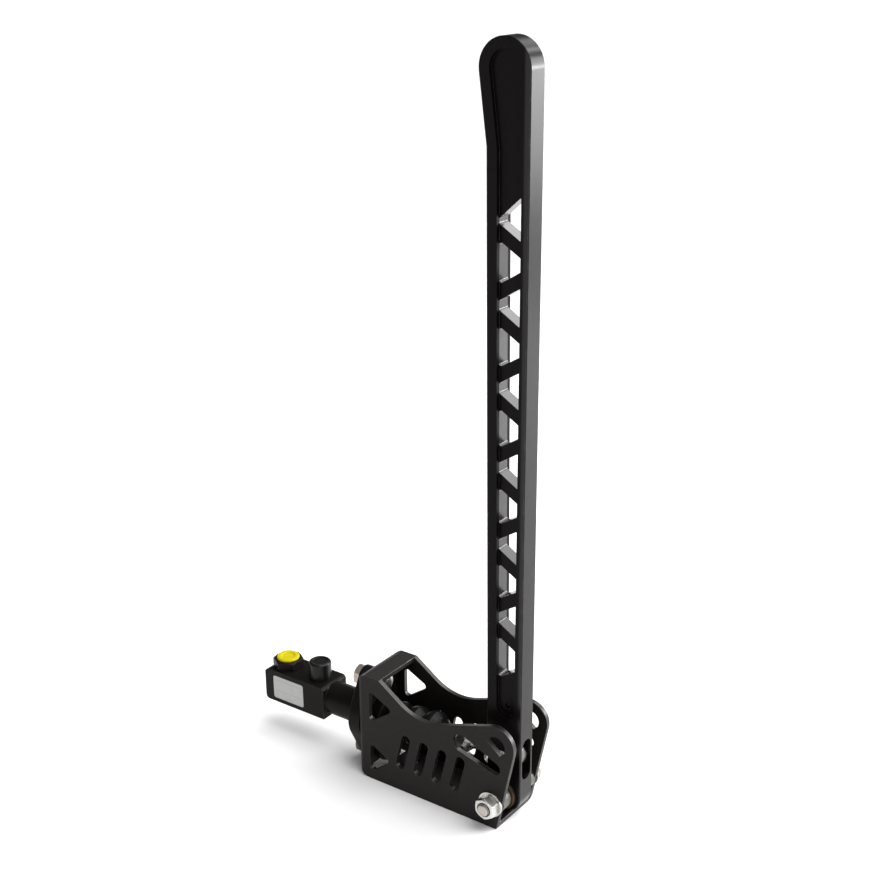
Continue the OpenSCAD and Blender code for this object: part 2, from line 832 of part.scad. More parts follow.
module pivot_nut() {
    color("silver")
        at_pivot()
            translate([0, -half_w - pivot_washer_t, 0])
                rotate([90, 0, 0])
                    hex_nut(pivot_af, pivot_nut_h, pivot_d + 2 * run_gap);
}

module pivot_washers() {
    color("silver")
        at_pivot()
            for (y = [-half_w, half_w + pivot_washer_t])
                translate([0, y, 0])
                    rotate([90, 0, 0])
                        ring(pivot_washer_d, pivot_d + 2 * pass_gap, pivot_washer_t);
}

module pivot_sleeve() {
    color("gray")
        at_pivot()
            translate([0, inner_w, 0])
                rotate([90, 0, 0])
                    ring(sleeve_d, pivot_d + 2 * pass_gap, 2 * inner_w);
}

module pivot_spacers() {
    length = inner_w - lever_t / 2 - bush_flange_t - side_gap;
    color("lightgray")
        at_pivot()
            for (y = [-inner_w + length, inner_w])
                translate([0, y, 0])
                    rotate([90, 0, 0])
                        ring(spacer_d, sleeve_d + 2 * run_gap, length);
}

module pivot_bush() {
    bore = sleeve_d + 2 * run_gap;
    translate([0, 0, lever_t / 2])
        ring(bush_flange_d, bore, bush_flange_t);
    translate([0, 0, side_gap])
        ring(bush_d, bore, lever_t / 2 - side_gap);
}

module pivot_bushes() {
    color("#b8863b")
        at_pivot()
            for (turn = [90, -90])
                rotate([turn, 0, 0])
                    pivot_bush();
}

// Master cylinder

module flange_outline() {
    for (side = [-1, 1])
        tapered_bar([0, 0], flange_hub_r, [0, side * flange_pitch / 2], flange_lobe_r);
}

module block_outline() {
    low = axis_h - block_h / 2;
    rounded_outline([[block_rear_x, low], [block_x, low], [block_x, block_top], [block_rear_x, block_top]],
        [block_r, 0, block_r, block_r]);
}

module cylinder_bore() {
    at_axis() {
        x_rod(bore_d, bore_end_x, mouth_x - bore_end_x + eps);
        x_rod(passage_d, outlet_x, bore_end_wall + eps);
        x_rod(bore_d + 2 * circlip_bite, mouth_x - circlip_inset - circlip_t, circlip_t);
    }
    at_port(outlet_x) {
        translate([0, 0, -adapter_stem_l - side_gap])
            cylinder(d = adapter_stem_d + 2 * run_gap, h = adapter_stem_l + side_gap + eps);
        translate([0, 0, -block_h / 2])
            cylinder(d = passage_d, h = block_h / 2);
    }
    at_port(inlet_x) {
        translate([0, 0, -nipple_stem_l - side_gap])
            cylinder(d = nipple_d + 2 * run_gap, h = nipple_stem_l + side_gap + eps);
        translate([0, 0, -block_h / 2])
            cylinder(d = feed_d, h = block_h / 2);
    }
}

module cylinder_body() {
    color("#19191b")
    difference() {
        union() {
            across(-block_w / 2, block_w)
                block_outline();
            at_axis() {
                x_rod(2 * barrel_r, block_x - eps, barrel_l + 2 * eps);
                translate([flange_x, 0, 0])
                    rotate([90, 0, 90])
                        linear_extrude(height = flange_t)
                            flange_outline();
                x_rod(2 * spigot_r, rear_x - eps, spigot_l + eps);
            }
        }
        cylinder_bore();
        at_flange_bolts()
            x_rod(flange_bolt_d + 2 * pass_gap, flange_x - eps, flange_t + 2 * eps);
    }
}

module flange_bolts() {
    length = flange_t + sheet_t + flange_washer_t + flange_nut_h + flange_tail;
    color("silver")
        at_flange_bolts()
            translate([flange_x, 0, 0])
                rotate([0, 90, 0])
                    rotate(90)
                        hex_bolt(flange_bolt_d, length, flange_af, flange_head_h);
}

module flange_washers() {
    color("silver")
        at_flange_bolts()
            translate([rear_x + sheet_t, 0, 0])
                rotate([0, 90, 0])
                    ring(flange_washer_d, flange_bolt_d + 2 * pass_gap, flange_washer_t);
}

module flange_nuts() {
    color("silver")
        at_flange_bolts()
            translate([rear_x + sheet_t + flange_washer_t, 0, 0])
                rotate([0, 90, 0])
                    rotate(90)
                        hex_nut(flange_af, flange_nut_h, flange_bolt_d + 2 * run_gap);
}

module outlet_adapter() {
    color("#19191b")
        at_port(outlet_x)
            difference() {
                union() {
                    hexagon(adapter_af, adapter_h);
                    translate([0, 0, -adapter_stem_l])
                        cylinder(d = adapter_stem_d, h = adapter_stem_l + eps);
                }
                translate([0, 0, -adapter_stem_l - eps])
                    cylinder(d = adapter_bore_d, h = adapter_stem_l + adapter_h + 2 * eps);
            }
}

module outlet_plug() {
    rim = plug_d / 2;
    dish = plug_dish_d / 2;
    color("#f2d500")
        at_port(outlet_x)
            translate([0, 0, adapter_h]) {
                rotate_extrude()
                    polygon([[0, 0], [rim, 0], [rim, plug_t - plug_dish], [rim - plug_dish, plug_t],
                        [dish, plug_t], [dish - plug_dish, plug_t - plug_dish], [0, plug_t - plug_dish]]);
                translate([0, 0, -plug_stem_l])
                    cylinder(d = adapter_bore_d - 2 * run_gap, h = plug_stem_l + (plug_t - plug_dish) / 2);
            }
}

module inlet_nipple() {
    color("silver")
        at_port(inlet_x)
            translate([0, 0, -nipple_stem_l])
                ring(nipple_d, nipple_d - 2 * nipple_wall, nipple_stem_l + nipple_h);
}

module inlet_cap() {
    side = cap_d / 2;
    color("#222222")
        at_port(inlet_x)
            difference() {
                rotate_extrude()
                    intersection() {
                        rounded_outline([[-side, 0], [side, 0], [side, cap_h], [-side, cap_h]],
                            [0, 0, cap_r, cap_r]);
                        square([cap_d, cap_h]);
                    }
                translate([0, 0, -eps])
                    cylinder(d = nipple_d + 2 * run_gap, h = nipple_h + side_gap + eps);
                translate([0, 0, cap_h - cap_dish])
                    cylinder(d = cap_d - 2 * cap_rim, h = cap_dish + eps);
            }
}

module block_label() {
    color("white")
        across(-block_w / 2 - label_t, label_t)
            translate([block_rear_x + label_inset, axis_h - label_h / 2])
                rounded_outline([[0, 0], [label_l, 0], [label_l, label_h], [0, label_h]],
                    [label_r, label_r, label_r, label_r]);
}

// Piston, seals and spring inside the bore

piston_d = bore_d - 2 * run_gap;
primary_x = piston_front_x + seal_land;
secondary_x = ball_x - ball_r - ball_gap - socket_wall - groove_w;
spring_seat_d = bore_d - 2 * (spring_room + spring_wire + side_gap);

module piston() {
    color("lightgray")
        at_axis()
            difference() {
                union() {
                    x_rod(piston_d, piston_front_x, piston_l);
                    x_rod(spring_seat_d, piston_front_x - spring_seat_l, spring_seat_l + eps);
                }
                for (x = [primary_x, secondary_x])
                    translate([x, 0, 0])
                        rotate([0, 90, 0])
                            ring(bore_d + 2 * eps, piston_d - 2 * groove_d, groove_w);
                translate([ball_x, 0, 0])
                    sphere(r = ball_r + ball_gap);
                x_rod(2 * (ball_r + ball_gap), ball_x, ball_depth + eps);
            }
}

// Cup with a lip that opens towards the pressure side
module seal(x) {
    inner = piston_d / 2 - groove_d + seal_gap;
    outer = bore_d / 2 - run_gap;
    middle = (inner + outer) / 2;
    width = groove_w - 2 * seal_gap;
    at_axis()
        translate([x + seal_gap + width, 0, 0])
            rotate([0, -90, 0])
                rotate_extrude()
                    polygon([[inner, 0], [outer - seal_lip / 2, 0], [outer, width], [outer - seal_lip, width],
                        [middle, width / 2], [inner, width - seal_lip]]);
}

module primary_seal() {
    color("#202020")
        seal(primary_x);
}

module secondary_seal() {
    color("#202020")
        seal(secondary_x);
}

// Coil made of straight lengths of wire from point to point
module return_spring() {
    steps = 12;
    length = piston_front_x - bore_end_x - spring_wire - 2 * pass_gap;
    coil_r = spring_seat_d / 2 + side_gap + spring_wire / 2;
    count = spring_turns * steps;
    function coil_point(i) = [bore_end_x + pass_gap + spring_wire / 2 + length * i / count,
        coil_r * cos(360 * i / steps), coil_r * sin(360 * i / steps)];
    color("silver")
        at_axis()
            for (i = [0:count - 1])
                wire(coil_point(i), coil_point(i + 1), spring_wire);
}

module wire(a, b, d) {
    v = b - a;
    run_on = d * 0.16;
    translate(a)
        rotate([0, acos(v[2] / norm(v)), atan2(v[1], v[0])])
            translate([0, 0, -run_on])
                cylinder(d = d, h = norm(v) + 2 * run_on, $fn = 6);
}

stop_x = mouth_x - circlip_inset - circlip_t - stop_t;
stop_bore = rod_d + 2 * stop_gap;

module stop_washer() {
    color("silver")
        at_axis()
            translate([stop_x, 0, 0])
                rotate([0, 90, 0])
                    ring(bore_d - 2 * run_gap, stop_bore, stop_t);
}

// Spring ring in its groove, open at the bottom and with two eyes for pliers
module circlip_eyes(r) {
    eye_at = bore_d / 2 - circlip_w - circlip_hole_r;
    for (side = [-1, 1])
        rotate(side * (circlip_open + circlip_hole_r * 8))
            translate([0, -eye_at])
                circle(r = r);
}

module circlip() {
    outer = bore_d / 2 + circlip_bite - run_gap;
    half_mouth = 2 * outer * tan(circlip_open);
    color("gray")
        at_axis()
            translate([mouth_x - circlip_inset - circlip_t + run_gap, 0, 0])
                rotate([90, 0, 90])
                    linear_extrude(height = circlip_t - 2 * run_gap)
                        difference() {
                            union() {
                                difference() {
                                    circle(r = outer);
                                    circle(r = bore_d / 2 - circlip_w);
                                    polygon([[0, 0], [-half_mouth, -2 * outer], [half_mouth, -2 * outer]]);
                                }
                                circlip_eyes(circlip_eye_r);
                            }
                            circlip_eyes(circlip_hole_r);
                        }
}

// Pushrod and rod end, drawn from the cross pin towards the ball end

collar_r = rod_d / 2 + collar_lip;
collar_at = rod_l + ball_x - stop_x + side_gap + collar_r * sin(rod_tilt);

module pushrod() {
    start = rod_end_l - thread_l;
    color("silver")
        along_rod() {
            translate([0, 0, start])
                cylinder(d = rod_d, h = collar_at - start + eps);
            translate([0, 0, collar_at])
                cylinder(r = collar_r, h = collar_t);
            translate([0, 0, collar_at])
                cylinder(d = shank_d, h = rod_l - collar_at);
            translate([0, 0, rod_l])
                sphere(r = ball_r);
        }
}

module jam_nut() {
    color("silver")
        along_rod()
            translate([0, 0, rod_end_l])
                rotate(20)
                    hex_nut(jam_af, jam_h, rod_d + 2 * run_gap);
}

module rod_end() {
    hex_at = rod_end_l - rod_end_hex_l;
    cone_l = (rod_end_af / 2 - rod_end_neck_r) / tan(rod_end_cone);
    color("silver")
    difference() {
        union() {
            at_pin()
                y_rod(2 * eye_r, -eye_w / 2, eye_w);
            along_rod() {
                cylinder(r = rod_end_neck_r, h = hex_at);
                translate([0, 0, hex_at - cone_l])
                    cylinder(r1 = rod_end_neck_r, r2 = rod_end_af / 2, h = cone_l);
                translate([0, 0, hex_at])
                    hexagon(rod_end_af, rod_end_hex_l);
            }
        }
        at_pin()
            sphere(r = bearing_r + run_gap);
        along_rod()
            translate([0, 0, rod_end_l - thread_l - side_gap])
                cylinder(d = rod_d + 2 * run_gap, h = thread_l + side_gap + eps);
    }
}

module rod_end_ball() {
    width = rod_slot_w - 2 * pass_gap;
    color("#d8d8d8")
        at_pin()
            rotate([90, 0, 0])
                rotate_extrude()
                    intersection() {
                        circle(r = bearing_r);
                        translate([pin_d / 2 + run_gap, -width / 2])
                            square([bearing_r, width]);
                    }
}

clip_y = lever_t / 2 + pass_gap + clip_t;

module cross_pin() {
    color("silver")
        at_pin()
            difference() {
                union() {
                    y_rod(pin_head_d, -lever_t / 2 - pin_head_t, pin_head_t);
                    y_rod(pin_d, -lever_t / 2 - eps, lever_t + pin_tail + eps);
                }
                translate([0, clip_y, 0])
                    rotate([90, 0, 0])
                        ring(pin_d + 2 * eps, pin_d - 2 * clip_bite, clip_t);
            }
}

module cross_pin_clip() {
    color("gray")
        at_pin()
            translate([0, clip_y - run_gap, 0])
                rotate([90, 0, 0])
                    linear_extrude(height = clip_t - 2 * run_gap)
                        difference() {
                            circle(d = clip_d);
                            circle(d = pin_d - 2 * clip_bite + 2 * run_gap);
                            translate([-clip_mouth / 2, -clip_d])
                                square([clip_mouth, clip_d]);
                        }
}

// Rubber boot between the spigot and the pushrod

boot_start = [mouth_x, axis_h];
boot_reach = rod_end_l + jam_h + boot_front;
boot_end = [-boot_reach * cos(rod_tilt), pin_h - boot_reach * sin(rod_tilt)];
boot_l = norm(boot_end - boot_start);
boot_rise = angle_to(boot_start, boot_end);
boot_neck_r = rod_d / 2 + pass_gap;
boot_cuff_r = spigot_r + boot_cuff_l * sin(boot_rise) + pass_gap;
boot_web = boot_cuff_r * sin(boot_rise) + pass_gap;
fold_start = boot_web + boot_wall;
fold_end = boot_l - boot_neck_l;

// Radius over the folds at a share u of their length, and the height there
function fold_radius(u) = boot_r - boot_fold_d * (1 + cos(360 * boot_folds * u)) / 2;
function fold_height(u) = fold_start + (fold_end - fold_start) * u;

module boot_profile() {
    steps = boot_folds * 12;
    polygon(concat(
        [[boot_cuff_r, -boot_cuff_l], [boot_cuff_r + boot_wall, -boot_cuff_l],
            [boot_cuff_r + boot_wall, fold_start]],
        [for (i = [0:steps]) [fold_radius(i / steps), fold_height(i / steps)]],
        [[boot_neck_r + boot_wall, fold_end], [boot_neck_r + boot_wall, boot_l], [boot_neck_r, boot_l],
            [boot_neck_r, fold_end - boot_wall]],
        [for (i = [steps - 2:-1:0]) [fold_radius(i / steps) - boot_wall, fold_height(i / steps)]],
        [[fold_radius(0) - boot_wall, boot_web], [boot_cuff_r, boot_web]]));
}

module rubber_boot() {
    color("#1a1a1a")
        translate([boot_start[0], 0, boot_start[1]])
            rotate([0, 90 - boot_rise, 0])
                rotate_extrude()
                    boot_profile();
}

base_bracket();
lever();
pivot_bolt();
pivot_nut();
pivot_washers();
pivot_sleeve();
pivot_spacers();
pivot_bushes();
cylinder_body();
flange_bolts();
flange_washers();
flange_nuts();
outlet_adapter();
outlet_plug();
inlet_nipple();
inlet_cap();
block_label();
piston();
primary_seal();
secondary_seal();
return_spring();
stop_washer();
circlip();
pushrod();
jam_nut();
rod_end();
rod_end_ball();
cross_pin();
cross_pin_clip();
rubber_boot();
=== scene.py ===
# Upright hydraulic parking brake lever, finished for the studio.
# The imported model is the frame; each section finishes one piece, in the order of assembly.
import math

import bpy
from mathutils import Matrix, Vector


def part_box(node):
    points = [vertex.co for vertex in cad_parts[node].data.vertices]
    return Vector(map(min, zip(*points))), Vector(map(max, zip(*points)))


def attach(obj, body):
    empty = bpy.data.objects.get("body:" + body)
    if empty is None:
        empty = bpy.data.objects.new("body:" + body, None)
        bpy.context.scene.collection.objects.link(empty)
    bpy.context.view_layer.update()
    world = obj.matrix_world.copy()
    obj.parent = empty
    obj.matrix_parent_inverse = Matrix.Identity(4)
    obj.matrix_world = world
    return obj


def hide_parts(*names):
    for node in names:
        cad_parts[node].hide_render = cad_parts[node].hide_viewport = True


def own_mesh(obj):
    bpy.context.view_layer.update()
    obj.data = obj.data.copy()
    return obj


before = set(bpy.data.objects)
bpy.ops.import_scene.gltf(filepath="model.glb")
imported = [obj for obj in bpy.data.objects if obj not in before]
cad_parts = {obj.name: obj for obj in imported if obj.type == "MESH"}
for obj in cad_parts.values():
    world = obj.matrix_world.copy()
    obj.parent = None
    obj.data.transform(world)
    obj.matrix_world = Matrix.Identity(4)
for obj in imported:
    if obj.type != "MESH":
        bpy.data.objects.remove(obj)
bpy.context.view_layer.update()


# Bracket
# Sheet steel, laser cut and folded into two side plates, a floor and an end plate with a lip.
# It is powder coated black; the coat is thin on the sharp edges, where the steel starts to show,
# and smoothest on the rims that look up to the right. The steel colour on the edges is partly wear
# and partly a painted highlight, painted far stronger where an edge faces the light up to the right.

class Wire:
    """One socket of a finish, with the operators that its maths is written in."""

    def __init__(self, tree, socket=None):
        self.tree = tree
        self.socket = socket

    def add(self, kind, settings=None, sockets=None, out=0):
        """Adds a node: its settings first, then the values or links of its sockets."""
        made = self.tree.nodes.new(kind)
        for name, value in (settings or {}).items():
            setattr(made, name, value)
        for name, value in (sockets or {}).items():
            if isinstance(value, Wire):
                self.tree.links.new(value.socket, made.inputs[name])
            else:
                made.inputs[name].default_value = value
        return Wire(self.tree, made.outputs[out])

    def maths(self, operation, first, second=0.0):
        return self.add("ShaderNodeMath", {"operation": operation}, {0: first, 1: second})

    def __add__(self, other):
        return self.maths("ADD", self, other)

    def __radd__(self, other):
        return self.maths("ADD", other, self)

    def __sub__(self, other):
        return self.maths("SUBTRACT", self, other)

    def __rsub__(self, other):
        return self.maths("SUBTRACT", other, self)

    def __mul__(self, other):
        return self.maths("MULTIPLY", self, other)

    def __rmul__(self, other):
        return self.maths("MULTIPLY", other, self)

    def __gt__(self, other):
        return self.maths("GREATER_THAN", self, other)

    def __lt__(self, other):
        return self.maths("LESS_THAN", self, other)


def new_finish(name):
    """An empty finish and the place on the piece that its patterns read."""
    finish = bpy.data.materials.new(name)
    finish.use_nodes = True
    return finish, Wire(finish.node_tree).add("ShaderNodeTexCoord", out="Object")


def set_finish(finish, sockets):
    """Links or sets the sockets of a finish's shader."""
    shader = finish.node_tree.nodes["Principled BSDF"]
    for name, value in sockets.items():
        if isinstance(value, Wire):
            finish.node_tree.links.new(value.socket, shader.inputs[name])
        else:
            shader.inputs[name].default_value = value


def grain(place, scale, detail=2.0, stretch=None):
    """Noise of so many grains a metre, drawn out along an axis where stretch says so."""
    if stretch:
        place = place.add("ShaderNodeMapping", {}, {"Vector": place, "Scale": stretch})
    return place.add("ShaderNodeTexNoise", {}, {"Vector": place, "Scale": scale, "Detail": detail})


def ramp(value, low, high):
    """Stretches a value between two levels to the full range, softly."""
    return value.add("ShaderNodeMapRange", {"interpolation_type": "SMOOTHSTEP"},
                     {"Value": value, "From Min": low, "From Max": high})


def tint(mask, low, high):
    """One colour where the mask is 0, the other where it is 1; either may be a wire."""
    factor, first, second, mixed = 0, 6, 7, 2
    low, high = (c if isinstance(c, Wire) else (*c, 1) for c in (low, high))
    return mask.add("ShaderNodeMix", {"data_type": "RGBA"},
                    {factor: mask, first: low, second: high}, out=mixed)


def relief(height, depth, strength=1.0, under=None):
    """Turns a height into a normal, on top of another normal where one is given."""
    sockets = {"Height": height, "Distance": depth, "Strength": strength}
    if under:
        sockets["Normal"] = under
    return height.add("ShaderNodeBump", {}, sockets)


def soft_edge(place, radius):
    """A normal that turns softly over each sharp edge."""
    return place.add("ShaderNodeBevel", {"samples": 6}, {"Radius": radius})


def facing(normal, way):
    """How far a normal looks one way: 1 along it, 0 across it."""
    return normal.add("ShaderNodeVectorMath", {"operation": "DOT_PRODUCT"},
                      {0: normal, 1: way}, out="Value")


def edge_mask(turned):
    """1 on the edges that a soft normal turns over, 0 on the flats between them."""
    flat = turned.add("ShaderNodeNewGeometry", out="Normal")
    return ramp(1 - facing(turned, flat), 0.01, 0.14)


def coat_node(node, finish):
    """Gives a solid its finish."""
    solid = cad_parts[node].data
    solid.materials.clear()
    solid.materials.append(finish)


up_and_right = (0.6, 0.3, 0.74)
coat_dark, coat_light = (0.0072, 0.0056, 0.0052), (0.0122, 0.0098, 0.0092)
coat_speck = (0.024, 0.022, 0.021)
bare_steel_and_highlight = (0.26, 0.255, 0.25)
powder_coat, place = new_finish("powder_coat")
cloud = grain(place, 22, 4)
peel = grain(place, 1500, 2)
speck = ramp(grain(place, 2600, 1), 0.66, 0.74)
rub = ramp(grain(place, 150, 5), 0.4, 0.66)
turned = soft_edge(place, 0.0004)
upper_right = facing(turned, up_and_right)
# Edge wear plus a painted highlight: the steel colour is painted mostly on edges that face the light up
# to the right.
wear_and_highlight_edges = edge_mask(turned) * (0.15 + ramp(upper_right, 0.2, 0.8) * 0.8) * (0.5 + rub * 0.5)
cut_smooth = ramp(upper_right, 0.32, 0.6)
coat_colour = tint(speck, tint(cloud, coat_dark, coat_light), coat_speck)
set_finish(powder_coat, {
    "Base Color": tint(wear_and_highlight_edges, coat_colour, bare_steel_and_highlight),
    "Metallic": wear_and_highlight_edges * 0.8,
    "Roughness": 0.38 + cloud * 0.12 + peel * 0.05 - wear_and_highlight_edges * 0.16,
    "Specular IOR Level": 0.14,
    "Coat Weight": cut_smooth * 0.7,
    "Coat Roughness": 0.3,
    "Normal": relief(peel, depth=0.00006, strength=0.4, under=turned),
})
coat_node("base_bracket", powder_coat)


# Lever
# A flat aluminium bar, milled with a pocket on each face, truss windows and a slot for the rod end.
# It is blasted and anodised black, so that its wide faces are dull; its milled front edge and the
# windows' walls are smoother and catch the light.

def part_of(place, axis):
    """How far along X, Y or Z a place lies."""
    return place.add("ShaderNodeSeparateXYZ", {}, {"Vector": place}, out=axis)


def blend_normals(mask, flat, turned):
    """The flat normal where the mask is 0, the softly turned one where it is 1."""
    factor, first, second, mixed = 0, 4, 5, 1
    return mask.add("ShaderNodeMix", {"data_type": "VECTOR"},
                    {factor: mask, first: flat, second: turned}, out=mixed)


front_from, front_full = 0.0095, 0.0112
web_half, window_half = 0.0052, 0.0043
window_rear, window_front = -0.0095, 0.0105
windows_low, windows_high = 0.09, 0.41
dye_deep, dye_thin = (0.0024, 0.0015, 0.0018), (0.0046, 0.0031, 0.0036)
rubbed_grey = (0.3, 0.3, 0.31)
anodised, place = new_finish("anodised_lever")
drift = grain(place, 14, 4)
blast = grain(place, 5200, 2)
milled = grain(place, 900, 3, (1.0, 1.0, 0.03))
handled = ramp(grain(place, 36, 5), 0.5, 0.72)
forward, upward = part_of(place, "X"), part_of(place, "Z")
from_middle = place.maths("ABSOLUTE", part_of(place, "Y"))
front_rim = ramp(forward, front_from, front_full)
rims = place.maths("MAXIMUM", front_rim, (from_middle < web_half) * 0.5)
in_window = (from_middle < window_half) * (forward > window_rear) * (forward < window_front)
in_window = in_window * (upward > windows_low) * (upward < windows_high)
turned = soft_edge(place, 0.0003)
worn = edge_mask(turned) * rims * (0.25 + ramp(grain(place, 110, 5), 0.45, 0.7) * 0.6)
turned = blend_normals(rims, place.add("ShaderNodeNewGeometry", out="Normal"), turned)
set_finish(anodised, {
    "Base Color": tint(worn, tint(drift, dye_deep, dye_thin), rubbed_grey),
    "Metallic": worn * 0.8,
    "Roughness": 0.3 + milled * 0.08 + handled * 0.06,
    "Specular IOR Level": 0.07,
    "Coat Weight": front_rim * 0.43 + in_window * 0.95,
    "Coat Roughness": 0.24,
    "Normal": relief(blast * 0.6 + milled * 0.4, depth=0.00004, strength=0.35, under=turned),
})
coat_node("lever", anodised)


# Pivot
# A zinc-plated bolt clamps a steel sleeve, two spacers and two washers between the side plates.
# The lever turns on the sleeve in two flanged bronze bushes, which are pressed into its foot.

def darker(colour, share):
    return tuple(c * share for c in colour)


def zinc_finish(name, colour, dull, threads=(), blush=(1.0, 0.98, 0.95), tail=None, shade_below=None):
    """Zinc plate: cloudy, faintly blushed and finely scratched. Each thread is an axis, pitch, start
    and end; tail gives an axis, a place and the colour beyond it, and grimy the height below which
    the zinc is painted near black, as painted shade."""
    rubbed_zinc = (0.8, 0.79, 0.77)
    shade_black = (0.035, 0.032, 0.029)
    shade_fade = 0.003
    finish, place = new_finish(name)
    bloom = grain(place, 130, 4)
    scratch = grain(place, 700, 3, (0.15, 1.0, 1.0))
    stain = ramp(grain(place, 60, 5), 0.5, 0.75)
    turned = soft_edge(place, 0.0004)
    shade = tint(bloom, colour, tuple(c * b for c, b in zip(colour, blush)))
    if tail:
        axis, start, beyond = tail
        shade = tint(part_of(place, axis) > start, shade, beyond)
    shade = tint(stain * 0.45, shade, darker(colour, 0.5))
    shade = tint(edge_mask(turned) * 0.5, shade, rubbed_zinc)
    normal = relief(scratch, depth=0.00003, strength=0.3, under=turned)
    rough = dull + bloom * 0.12 + stain * 0.1
    for axis, pitch, start, end in threads:
        along = part_of(place, axis)
        run = (along > start) * (along < end)
        turn = place.maths("SINE", along * (2 * math.pi / pitch))
        normal = relief(turn * run, depth=pitch * 0.3, under=normal)
        # Painted shade: the thread valleys are painted darker, as if shade fell in the grooves.
        valley_shade = ramp(turn, -0.2, -0.9) * run
        shade = tint(valley_shade * 0.7, shade, darker(colour, 0.2))
        rough = rough + valley_shade * 0.2
    # Painted shade: below the given height the zinc is painted near black.
    if shade_below:
        low_shade = ramp(part_of(place, "Z"), shade_below + shade_fade, shade_below - shade_fade) * (0.75 + stain * 0.2)
        shade = tint(low_shade, shade, shade_black)
        rough = rough + low_shade * 0.2
    set_finish(finish, {"Base Color": shade, "Metallic": 1.0, "Roughness": rough, "Normal": normal})
    return finish


bright_zinc = (0.62, 0.625, 0.61)
warm_zinc = (0.48, 0.435, 0.405)
grey_zinc = (0.17, 0.165, 0.155)
thread_pitch = 0.00125
bolt_chamfer = 0.0004
bolt_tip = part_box("pivot_bolt")[0].y
nut_low, nut_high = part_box("pivot_nut")
zinc = zinc_finish("zinc", bright_zinc, dull=0.2)
bolt_zinc = zinc_finish("bolt_zinc", warm_zinc, dull=0.3,
                        threads=[("Y", thread_pitch, bolt_tip + bolt_chamfer, nut_low.y)])
dull_zinc = zinc_finish("dull_zinc", grey_zinc, dull=0.36)
coat_node("pivot_bolt", bolt_zinc)
coat_node("pivot_nut", zinc)
coat_node("pivot_washers", zinc)
coat_node("pivot_spacers", dull_zinc)

bronze_dark, bronze_light = (0.12, 0.08, 0.05), (0.18, 0.125, 0.08)
pore_dark = (0.035, 0.024, 0.015)
bronze, place = new_finish("sintered_bronze")
pores = ramp(grain(place, 4200, 2), 0.6, 0.7)
oiled = grain(place, 90, 4)
set_finish(bronze, {
    "Base Color": tint(pores, tint(oiled, bronze_dark, bronze_light), pore_dark),
    "Metallic": 1.0,
    "Roughness": 0.36 + oiled * 0.15 + pores * 0.2,
    "Normal": relief(1 - pores, depth=0.00004, strength=0.5, under=soft_edge(place, 0.0003)),
})
coat_node("pivot_bushes", bronze)

steel_dark, steel_light = (0.33, 0.33, 0.34), (0.46, 0.46, 0.47)
steel, place = new_finish("ground_steel")
ground = grain(place, 1800, 3, (1.0, 0.05, 1.0))
set_finish(steel, {
    "Base Color": tint(grain(place, 70, 4), steel_dark, steel_light),
    "Metallic": 1.0,
    "Roughness": 0.26 + ground * 0.16,
    "Normal": relief(ground, depth=0.00002, strength=0.3, under=soft_edge(place, 0.0003)),
})
coat_node("pivot_sleeve", steel)


# Locking ring
# The pivot nut is a locking nut: a nylon ring sits in its outer face and grips the bolt's thread.
# It is moulded, nearly black, and stands a hair proud of the nut.

def next_ring(step, grow, centre):
    """Extrudes the selected loop by a step, and then scales it about a centre."""
    bpy.ops.mesh.extrude_region_move(TRANSFORM_OT_translate={"value": step})
    bpy.ops.transform.resize(value=grow, center_override=centre)


ring_in, ring_out = 0.00405, 0.0049
ring_deep, ring_proud = 0.0006, 0.0002
ring_bevel = 0.0001
ring_sides = 64
ring_h = ring_deep + ring_proud
widen, narrow = ring_out / ring_in, ring_in / ring_out
pivot_z = (nut_low.z + nut_high.z) / 2
ring_back = (0, nut_low.y + ring_deep, pivot_z)
ring_face = (0, nut_low.y - ring_proud, pivot_z)
bpy.ops.object.select_all(action="DESELECT")
bpy.ops.mesh.primitive_circle_add(vertices=ring_sides, radius=ring_in, fill_type="NOTHING",
                                  location=ring_back, rotation=(math.pi / 2, 0, 0))
ring = bpy.context.object
ring.name = "locking_ring"
bpy.ops.object.transform_apply(location=True, rotation=True, scale=True)
bpy.ops.object.mode_set(mode="EDIT")
bpy.ops.mesh.select_all(action="SELECT")
next_ring((0, -ring_h, 0), (1, 1, 1), ring_face)
next_ring((0, 0, 0), (widen, 1, widen), ring_face)
next_ring((0, ring_h, 0), (1, 1, 1), ring_back)
next_ring((0, 0, 0), (narrow, 1, narrow), ring_back)
bpy.ops.mesh.select_all(action="SELECT")
bpy.ops.mesh.remove_doubles(threshold=0.00001)
bpy.ops.mesh.normals_make_consistent(inside=False)
bpy.ops.mesh.select_all(action="DESELECT")
bpy.ops.mesh.edges_select_sharp(sharpness=math.radians(60))
bpy.ops.mesh.bevel(offset=ring_bevel, segments=2, affect="EDGES")
bpy.ops.object.mode_set(mode="OBJECT")
bpy.ops.object.shade_smooth_by_angle(angle=math.radians(40))
nylon_dark, nylon_light = (0.02, 0.018, 0.016), (0.045, 0.04, 0.036)
nylon, place = new_finish("dark_nylon")
set_finish(nylon, {
    "Base Color": tint(grain(place, 400, 4), nylon_dark, nylon_light),
    "Roughness": 0.42 + grain(place, 2400, 2) * 0.14,
    "Normal": relief(grain(place, 3200, 2), depth=0.00003, strength=0.3),
})
ring.data.materials.append(nylon)
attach(ring, "base")


# Master cylinder
# Aluminium, machined from one piece: a square block with two ports, a turned barrel, an oval
# two-bolt flange and a spigot that goes through the end plate. It is anodised black.

